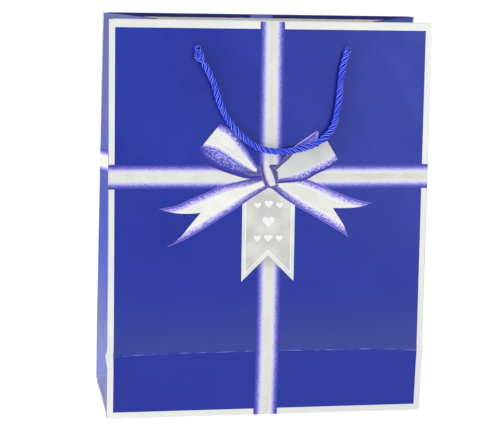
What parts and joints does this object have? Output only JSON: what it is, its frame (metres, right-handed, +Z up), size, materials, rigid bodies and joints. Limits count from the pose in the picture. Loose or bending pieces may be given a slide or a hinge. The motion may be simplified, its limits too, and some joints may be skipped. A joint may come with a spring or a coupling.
{
  "type": "gift bag",
  "caption": "Open paper gift bag with a flat base, V-folded side gussets, rope handles and printed silver ribbon, bow and tag artwork.",
  "frame": {"origin": "centre of the base's underside, on the surface that the bag stands on", "axes": "+Z up; the front panel, with the artwork and the handle that shows, faces -Y; +X to its right"},
  "size_m": [0.26, 0.1, 0.319],
  "materials": {
    "printed_paper": "gloss-laminated blue print",
    "white_paper": "uncoated white inside",
    "white_card": "matte white board",
    "rope": "shiny twisted cord",
    "silver_foil": "pearly silver foil",
    "blue_glitter": "blue-violet glitter print"
  },
  "bodies": {
    "tray": {"front_panel_lower": "printed_paper", "rear_panel_lower": "printed_paper", "left_gusset_lower": "printed_paper", "right_gusset_lower": "printed_paper", "bottom_flap_front": "printed_paper", "bottom_flap_rear": "printed_paper", "bottom_flap_left": "printed_paper", "bottom_flap_right": "printed_paper", "glue_lap_lower": "white_paper"},
    "bottom_board": {"bottom_board": "white_card"},
    "front_wall": {"front_panel_upper": "printed_paper", "front_reinforcement_card": "white_card", "front_turn_in": "white_paper", "front_left_knot": "rope", "front_right_knot": "rope"},
    "left_gusset_front": {"left_gusset_front_half": "printed_paper", "left_gusset_front_turn_in": "white_paper"},
    "right_gusset_front": {"right_gusset_front_half": "printed_paper", "right_gusset_front_turn_in": "white_paper"},
    "front_handle": {"front_handle_rope": "rope"},
    "rear_wall": {"rear_panel_upper": "printed_paper", "rear_reinforcement_card": "white_card", "rear_turn_in": "white_paper", "rear_left_knot": "rope", "rear_right_knot": "rope", "glue_lap_upper": "white_paper"},
    "left_gusset_rear": {"left_gusset_rear_half": "printed_paper", "left_gusset_rear_turn_in": "white_paper"},
    "right_gusset_rear": {"right_gusset_rear_half": "printed_paper", "right_gusset_rear_turn_in": "white_paper"},
    "rear_handle": {"rear_handle_rope": "rope"}
  },
  "joints": [
    {"name": "front_wall_fold", "type": "hinge", "parent": "tray", "child": "front_wall", "pos_m": [0, -0.05, 0.05], "axis": [1, 0, 0], "range_deg": [-2, 5]},
    {"name": "rear_wall_fold", "type": "hinge", "parent": "tray", "child": "rear_wall", "pos_m": [0, 0.05, 0.05], "axis": [-1, 0, 0], "range_deg": [-2, 5]},
    {"name": "left_gusset_front_fold", "type": "hinge", "parent": "front_wall", "child": "left_gusset_front", "pos_m": [-0.13, -0.05, 0.05], "axis": [-0.7071, -0.7071, 0], "range_deg": [-2.84, 7.08], "deforming": ["left_gusset_front_half", "left_gusset_front_turn_in"]},
    {"name": "left_gusset_rear_fold", "type": "hinge", "parent": "rear_wall", "child": "left_gusset_rear", "pos_m": [-0.13, 0.05, 0.05], "axis": [0.7071, -0.7071, 0], "range_deg": [-2.84, 7.08], "deforming": ["left_gusset_rear_half", "left_gusset_rear_turn_in"]},
    {"name": "right_gusset_front_fold", "type": "hinge", "parent": "front_wall", "child": "right_gusset_front", "pos_m": [0.13, -0.05, 0.05], "axis": [-0.7071, 0.7071, 0], "range_deg": [-2.84, 7.08], "deforming": ["right_gusset_front_half", "right_gusset_front_turn_in"]},
    {"name": "right_gusset_rear_fold", "type": "hinge", "parent": "rear_wall", "child": "right_gusset_rear", "pos_m": [0.13, 0.05, 0.05], "axis": [0.7071, 0.7071, 0], "range_deg": [-2.84, 7.08], "deforming": ["right_gusset_rear_half", "right_gusset_rear_turn_in"]},
    {"name": "front_handle_swing", "type": "hinge", "parent": "front_wall", "child": "front_handle", "pos_m": [0, -0.03241, 0.29691], "axis": [-1, 0, 0], "range_deg": [0, 175]},
    {"name": "rear_handle_swing", "type": "hinge", "parent": "rear_wall", "child": "rear_handle", "pos_m": [0, 0.03241, 0.29691], "axis": [1, 0, 0], "range_deg": [0, 175]},
    {"name": "bottom_board_lift", "type": "slide", "parent": "tray", "child": "bottom_board", "axis": [0, 0, 1], "range_m": [0, 0.045]}
  ],
  "couplings": [
    {"joint": "rear_wall_fold", "follows": "front_wall_fold", "ratio": 1},
    {"joint": "left_gusset_front_fold", "follows": "front_wall_fold", "ratio": 1.4142},
    {"joint": "left_gusset_rear_fold", "follows": "front_wall_fold", "ratio": 1.4142},
    {"joint": "right_gusset_front_fold", "follows": "front_wall_fold", "ratio": 1.4142},
    {"joint": "right_gusset_rear_fold", "follows": "front_wall_fold", "ratio": 1.4142}
  ]
}
